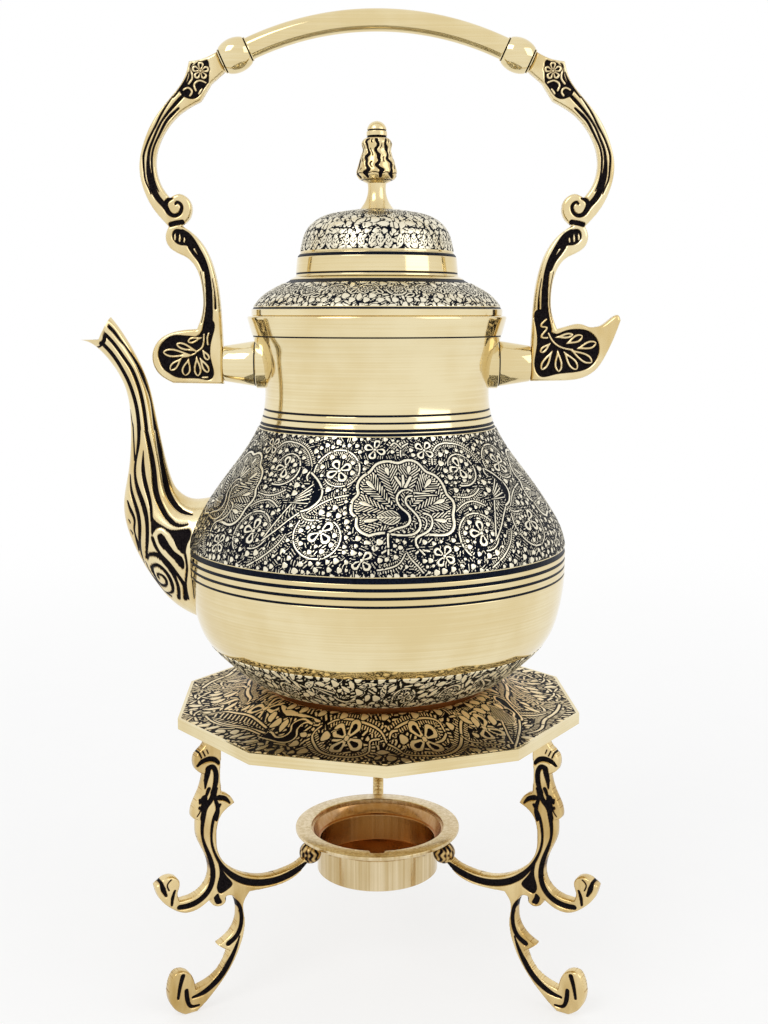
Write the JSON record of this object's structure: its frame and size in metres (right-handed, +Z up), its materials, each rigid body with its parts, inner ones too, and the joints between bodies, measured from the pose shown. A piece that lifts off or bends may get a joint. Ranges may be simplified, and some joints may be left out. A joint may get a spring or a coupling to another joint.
{
  "type": "teapot with warmer",
  "caption": "Metal teapot with a lift-off lid and a swinging bail handle, resting on a three-legged warmer with a lift-out burner cup.",
  "frame": {"origin": "under the middle of the whole object, at the level of its feet", "axes": "+Z up; the spout points along -X and the handle's pivots lie along X; +Y is away from the camera"},
  "size_m": [0.2238, 0.19, 0.4045],
  "materials": {
    "polished_brass": "polished",
    "engraved_brass": "engraved, the ground filled black, lines polished",
    "cast_brass": "cast and chased, recesses blackened, ridges polished",
    "satin_brass": "turned, satin"
  },
  "bodies": {
    "stand": {"tray": "engraved_brass", "leg_front_left": "cast_brass", "leg_front_right": "cast_brass", "leg_rear": "cast_brass"},
    "burner": {"burner_cup": "satin_brass"},
    "pot": {"base_bowl": "polished_brass", "body_shell": "engraved_brass", "foot_ring": "polished_brass", "neck_collar": "polished_brass", "spout": "cast_brass", "boss_left": "polished_brass", "boss_right": "polished_brass"},
    "handle": {"handle_arm_left": "cast_brass", "handle_arm_right": "cast_brass", "grip_tube": "polished_brass", "ferrule_left": "polished_brass", "ferrule_right": "polished_brass", "pivot_pin_left": "polished_brass", "pivot_pin_right": "polished_brass"},
    "lid": {"lid_skirt": "engraved_brass", "lid_locating_ring": "polished_brass", "lid_dome": "engraved_brass", "finial": "cast_brass", "finial_washer": "polished_brass", "finial_nut": "polished_brass"}
  },
  "joints": [
    {"name": "pot_lift", "type": "slide", "parent": "stand", "child": "pot", "axis": [0, 0, 1], "range_m": [0, 0.06]},
    {"name": "burner_lift", "type": "slide", "parent": "stand", "child": "burner", "axis": [0, 0, 1], "range_m": [0, 0.02]},
    {"name": "lid_lift", "type": "slide", "parent": "pot", "child": "lid", "axis": [0, 0, 1], "range_m": [0, 0.03]},
    {"name": "handle_swing", "type": "hinge", "parent": "pot", "child": "handle", "pos_m": [0.01147, -0.00804, 0.2642], "axis": [1, 0, 0], "range_deg": [-138, 138]}
  ]
}
